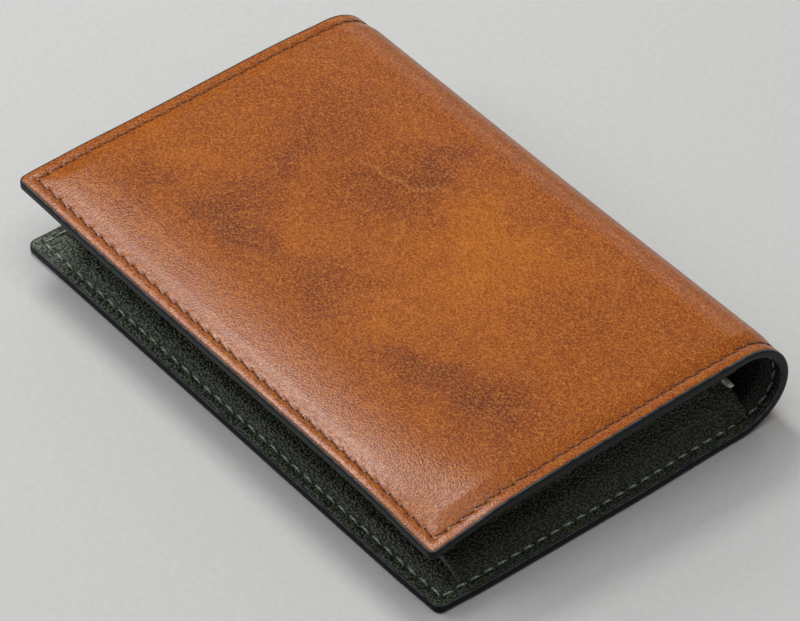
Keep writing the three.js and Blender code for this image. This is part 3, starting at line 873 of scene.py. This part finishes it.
panel("front_panel", FRONT_HALF, FRONT_MOUTH, FRONT_END, front_face, level(FRONT_IN),
      ["pocket_front", "pocket_front_lining"], "pocket_front")
panel("front_slip_panel", FRONT_HALF, FRONT_SLIP_MOUTH, FRONT_END, slip_face, slip_under,
      ["front_slip_pocket"], "pocket_front")

first_hole, last_hole = FRONT_MOUTH + 1, FRONT_END - FRONT_SEAM
side_holes = np.linspace(first_hole, last_hole, round((last_hole - first_hole) / STITCH) + 1)
end_holes = np.linspace(-FRONT_SEAM_X, FRONT_SEAM_X, round(2 * FRONT_SEAM_X / STITCH) + 1)
rows = [hole_to_hole(side * FRONT_SEAM_X, side_holes) for side in (-1, 1)]
rows.append(hole_to_hole(end_holes, last_hole))
made = stitches("front_stitches", np.concatenate(rows), front_stitch_face, -1, -0.25, SAGE)
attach(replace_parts(made, "pocket_front_thread"), "pocket_front")


# ---- gussets
def smoothed(points, reach=3):
    """Rounds a polyline's corners: a bell-weighted average over its neighbours, its two ends held."""
    weights = bell(np.linspace(-1.6, 1.6, 2 * reach + 1))
    weights /= weights.sum()
    before = 2 * points[:, :1] - points[:, reach:0:-1]
    after = 2 * points[:, -1:] - points[:, -2 : -reach - 2 : -1]
    padded = np.concatenate([before, points, after], 1)
    return sum(k * padded[:, i : i + points.shape[1]] for i, k in enumerate(weights))


def band(corners):
    """Middle surface of a folded band: at each station a polyline through the corners, sampled evenly and
    rounded. A corner is how far in it lies and how high, each a number or an array over the stations."""
    values = np.broadcast_arrays(*[value for corner in corners for value in corner])
    corners = np.stack(values, 1).reshape(len(values[0]), -1, 2)
    lengths = np.linalg.norm(np.diff(corners, axis=1), axis=2)
    total = np.concatenate([np.zeros((len(corners), 1)), np.cumsum(lengths, 1)], 1)
    count = 64  # points across the band
    wanted = np.linspace(0, 1, count)
    out = np.empty((len(corners), count, 2))
    for k in range(len(corners)):
        for axis in (0, 1):
            out[k, :, axis] = np.interp(wanted * total[k, -1], total[k], corners[k, :, axis])
    return smoothed(out)


def thicken(middle, thick):
    """The two faces of a band: its middle surface moved half the thickness to each side of each section."""
    step = np.gradient(middle, axis=1)
    normal = np.stack([-step[..., 1], step[..., 0]], -1)
    normal /= np.linalg.norm(normal, axis=-1, keepdims=True)
    return middle + normal * thick / 2, middle - normal * thick / 2


def front_height(s_back, depth):
    """Height of the closed pocket front's depth above a reach of the back."""
    slope = np.tan(TURN - np.pi)
    return 2 * RADIUS + s_back * slope - depth / np.cos(TURN - np.pi)


def hang(made):
    """Bakes a gusset's placement into its mesh."""
    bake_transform(made)


GUSSET_FOLD = 8.3  # from the case's side to the fold
FRONT_SIDE = HALF - FRONT_HALF


def side_gusset(side, word):
    """A side gusset: sewn flat to the back, up to an inward fold and back out under the pocket's front.
    The fold lies low at the closed end and stands up towards the mouth, so the leaf twists."""
    share = np.linspace(0, 1, 110)
    s = GUSSET_START + (GUSSET_MOUTH - GUSSET_START) * share
    rim = BACK_RIM + EDGE_THICK
    base = FLANGE_OUT + GUSSET / 2
    top = front_height(s, TOP_FLANGE_OUT) - GUSSET / 2
    fold = 4.7 + 2.9 * ease(share * 0.92 + 0.04) + 0.12 * np.sin(share * 15)
    tip = GUSSET_FOLD - 0.4 + 0.15 * np.sin(share * 11 + 1)
    middle = band([(0.30, rim + 0.05), (BACK_SEAM, rim + 0.08), (3.6, base - 0.25),
                   (tip * 0.64, base + (fold - base) * 0.44), (tip, fold),
                   (FRONT_SIDE + 2.6, top - 0.1), (FRONT_SIDE + 0.2, top)])
    skived = 0.3 + (GUSSET - 0.3) * ease((middle[..., 0] - 1.2) / 2.8)
    skived = np.where(middle[..., 1] > base + 1, GUSSET, skived)
    faces_qz = thicken(middle, skived[..., None])
    folded = []
    for q, z in ((f[..., 0], f[..., 1]) for f in faces_qz):
        # the mouth end leans on round the bend, most at the flange, which climbs with the lining
        low_down = np.clip(1 - (z - FLANGE_OUT) / 6, 0, 1)
        lean = (0.9 + (FLANGE_MOUTH - GUSSET_MOUTH - 0.9) * low_down) * ease((share[:, None] - 0.9) / 0.1)
        at = s[:, None] + lean
        inner = RADIUS - LINING_IN
        climb = inner - np.sqrt(inner**2 - np.clip(at, 0, 5) ** 2)
        on_seam = low_down * (1 - ease((q - 2.8) / 1.2)) * (z < base + 0.6)
        z = z + sewn_relief(side * (HALF - q), at) * on_seam + climb * low_down
        wider = pressed(side * HALF, at) * low_down * (1 - ease(at / 25 + 1))
        folded.append(np.stack([side * (HALF - q) * (1 + wider), AXIS_Y + at, z], -1))
    folded = np.stack(folded)
    along = np.stack([faces_qz[0][..., 0] * 1.3, s[:, None] + 0 * faces_qz[0][..., 0]], -1)
    grain = np.stack([np.concatenate([along, 9.0 * k + faces_qz[k][..., 1:]], -1) for k in (0, 1)])
    faces, walls = sheet_faces(*folded.shape[1:3])
    # painted highlight on the cut end at the closed end
    painted_highlight = np.stack([(share < 0.004)[:, None] + 0 * middle[..., 0]] * 2)
    made = piece(f"{word}_side_gusset", grain, faces, GOAT, walls, RAW, folded,
                 {"painted_highlight": painted_highlight})
    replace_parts(made, word + "_gusset")
    hang(made)


side_gusset(1, "right")
side_gusset(-1, "left")


def bottom_gusset():
    """The closed end's gusset, the same folded band laid across the case."""
    low, high = box_mm("bottom_gusset")
    x = np.linspace(low[0], high[0], 150)
    out = low[1]
    base = FLANGE_OUT + GUSSET / 2
    top = front_height(out - AXIS_Y, TOP_FLANGE_OUT) - GUSSET / 2
    fold = 6.3 + 0.15 * np.sin(x * 0.3) + 0.1 * np.sin(x * 0.11 + 1)
    middle = band([(0.1, base), (2.2, base), (high[1] - out - 0.45, fold), (2.2, top + 0.05), (0.1, top)])
    faces_qz = thicken(middle, GUSSET)
    folded = np.stack(
        [np.stack([x[:, None] + 0 * f[..., 0], out + f[..., 0], f[..., 1]], -1) for f in faces_qz]
    )
    faces, walls = sheet_faces(*folded.shape[1:3])
    made = piece("closed_end_gusset", folded, faces, GOAT, walls, RAW, folded)
    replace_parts(made, "bottom_gusset")
    hang(made)


bottom_gusset()

low, high = box_mm("bottom_gusset_thread")
holes = np.linspace(low[0], high[0], round((high[0] - low[0]) / STITCH) + 1)
ends = hole_to_hole(holes, (low[1] + high[1]) / 2 - AXIS_Y)
made = stitches("closed_end_stitches", ends, level(FLANGE_OUT + GUSSET), 1, 0.25, SAGE)
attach(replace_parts(made, "bottom_gusset_thread"), "back")


# ---- thread wrapped round the mouth's corners
def mouth_wrap(side, word):
    """Two turns of thread that lock the front's seam at the mouth: a tube along a flattened helix."""
    turns = np.linspace(0, 2.0, 49)
    a = 2 * np.pi * turns
    s_at = GUSSET_MOUTH - 1.35 + 0.42 * turns
    centre_x, centre_z = FRONT_HALF - 0.2, front_height(1.0, TOP_FLANGE_OUT) - 2.4
    u = np.sign(np.cos(a)) * np.abs(np.cos(a)) ** 0.8
    v = np.sign(np.sin(a)) * np.abs(np.sin(a)) ** 0.7
    path = np.stack([side * (centre_x + 0.95 * u), AXIS_Y + s_at, centre_z + 0.4 * v], -1)
    tangent = np.gradient(path, axis=0)
    tangent /= np.linalg.norm(tangent, axis=1, keepdims=True)
    across = np.cross(tangent, [0, 1, 0])
    across /= np.linalg.norm(across, axis=1, keepdims=True)
    beside = np.cross(tangent, across)
    ring = np.linspace(0, 2 * np.pi, 8, endpoint=False)
    thick = 0.22  # half the thread's thickness
    points = path[:, None] + thick * np.cos(ring)[:, None] * across[:, None]
    points = points + thick * np.sin(ring)[:, None] * beside[:, None]
    lay = (turns * 5)[:, None] + ring / (2 * np.pi)
    made = piece(f"{word}_mouth_wrap", points, tube_faces(len(path), 8), PALE, folded=points,
                 extra={"lay": lay})
    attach(made, "pocket_front")


mouth_wrap(1, "right")
mouth_wrap(-1, "left")


# ---- boards between the layers
def stiffener(node, body, s_of):
    """A fibre board that fills the gap between the cover leather and the lining."""
    low, high = box_mm(node)
    ends = np.sort(s_of(np.array([low[1], high[1]])))
    x, s = np.meshgrid(np.linspace(low[0], high[0], 60), np.linspace(*ends, 40))
    top, under = leather_under(x, s) + 0.03, lining_under(x, s) - 0.03
    made = sheet(node + "_board", x, s, top, np.maximum(under, top + 0.2), BOARD)
    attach(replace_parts(made, node), body)


stiffener("back_stiffener", "back", lambda y: y - AXIS_Y)
stiffener("lid_stiffener", "lid", lambda y: S_LID + (AXIS_Y - y) / abs(np.cos(TURN)))


# ---- floor, light and camera
def studio():
    """A pale table top, an even sky and four soft lights: a large one overhead, a small one that the lid's
    free edge reflects, and low ones behind and on the left."""
    floor_mesh = bpy.data.meshes.new("table_top")
    a = 1.6  # half its side, in metres
    floor_mesh.from_pydata([(-a, -a, 0), (a, -a, 0), (a, a, 0), (-a, a, 0)], [], [(0, 1, 2, 3)])
    table = put("table_top", floor_mesh)
    made, tree, matt = finish_named("matt_pale_card")
    where = add(tree, "TexCoord", take="Object")
    tooth = add(tree, "TexNoise", {"Vector": where, "Scale": 900.0, "Detail": 2.0})  # a tooth of 1.1 mm
    tint = add(tree, "ValToRGB", {"Fac": tooth}, ramp=[(0.3, "bfc0be"), (0.7, "c4c5c3")])
    fill(matt, {"Base Color": tint, "Roughness": 0.85})
    floor_mesh.materials.append(made)

    world = bpy.data.worlds.new("even_sky")
    world.use_nodes = True
    fill(world.node_tree.nodes["Background"], {"Color": (1, 1, 1, 1), "Strength": 0.22})
    bpy.context.scene.world = world

    def softbox(name, aim, away, wide, high, watts):
        """A rectangular lamp that faces the case from a distance along a direction."""
        lamp = bpy.data.lights.new(name, "AREA")
        lamp.shape, lamp.size, lamp.size_y, lamp.energy = "RECTANGLE", wide, high, watts
        held = put(name, lamp)
        direction = np.array(aim, float)
        direction /= np.linalg.norm(direction)
        turn = Vector((-direction).tolist()).to_track_quat("-Z", "Y").to_matrix().to_4x4()
        held.matrix_world = Matrix.Translation((direction * away).tolist()) @ turn

    softbox("overhead", (0.02, -0.10, 0.99), 0.75, 0.62, 0.62, 2.9)
    softbox("sheen", (-0.504, 0.125, 0.855), 0.9, 0.22, 0.22, 2.9)
    softbox("low_behind", (-0.55, 0.72, 0.42), 0.8, 0.46, 0.36, 0.55)
    softbox("low_left", (-0.72, -0.50, 0.48), 0.8, 0.40, 0.30, 1.7)


studio()


def stand_camera():
    """A long lens a little over 3/4 m away, turned 2.4 degrees about its own axis."""
    azimuth, elevation, roll = np.radians([48.84, 42.79, 2.37])
    level_way = np.array([-np.sin(azimuth), np.cos(azimuth), 0.0])
    forward = level_way * np.cos(elevation) - [0, 0, np.sin(elevation)]
    right = np.array([np.cos(azimuth), np.sin(azimuth), 0.0])
    up = np.cross(right, forward)
    camera_x = right * np.cos(roll) + up * np.sin(roll)
    camera_y = -right * np.sin(roll) + up * np.cos(roll)
    target = np.array([0, 0.4, 10.0])
    at = target - forward * 776.3 + 0.11 * camera_x - 3.48 * camera_y
    lens = bpy.data.cameras.new("camera")
    lens.lens, lens.sensor_width = 207.6, 36.0
    lens.clip_start, lens.clip_end = 0.05, 10.0
    held = put("camera", lens)
    turn = np.eye(4)
    turn[:3, 0], turn[:3, 1], turn[:3, 2], turn[:3, 3] = camera_x, camera_y, -forward, at * MM
    held.matrix_world = Matrix(turn.tolist())
    bpy.context.scene.camera = held


stand_camera()
bpy.context.scene.view_settings.view_transform = "Standard"
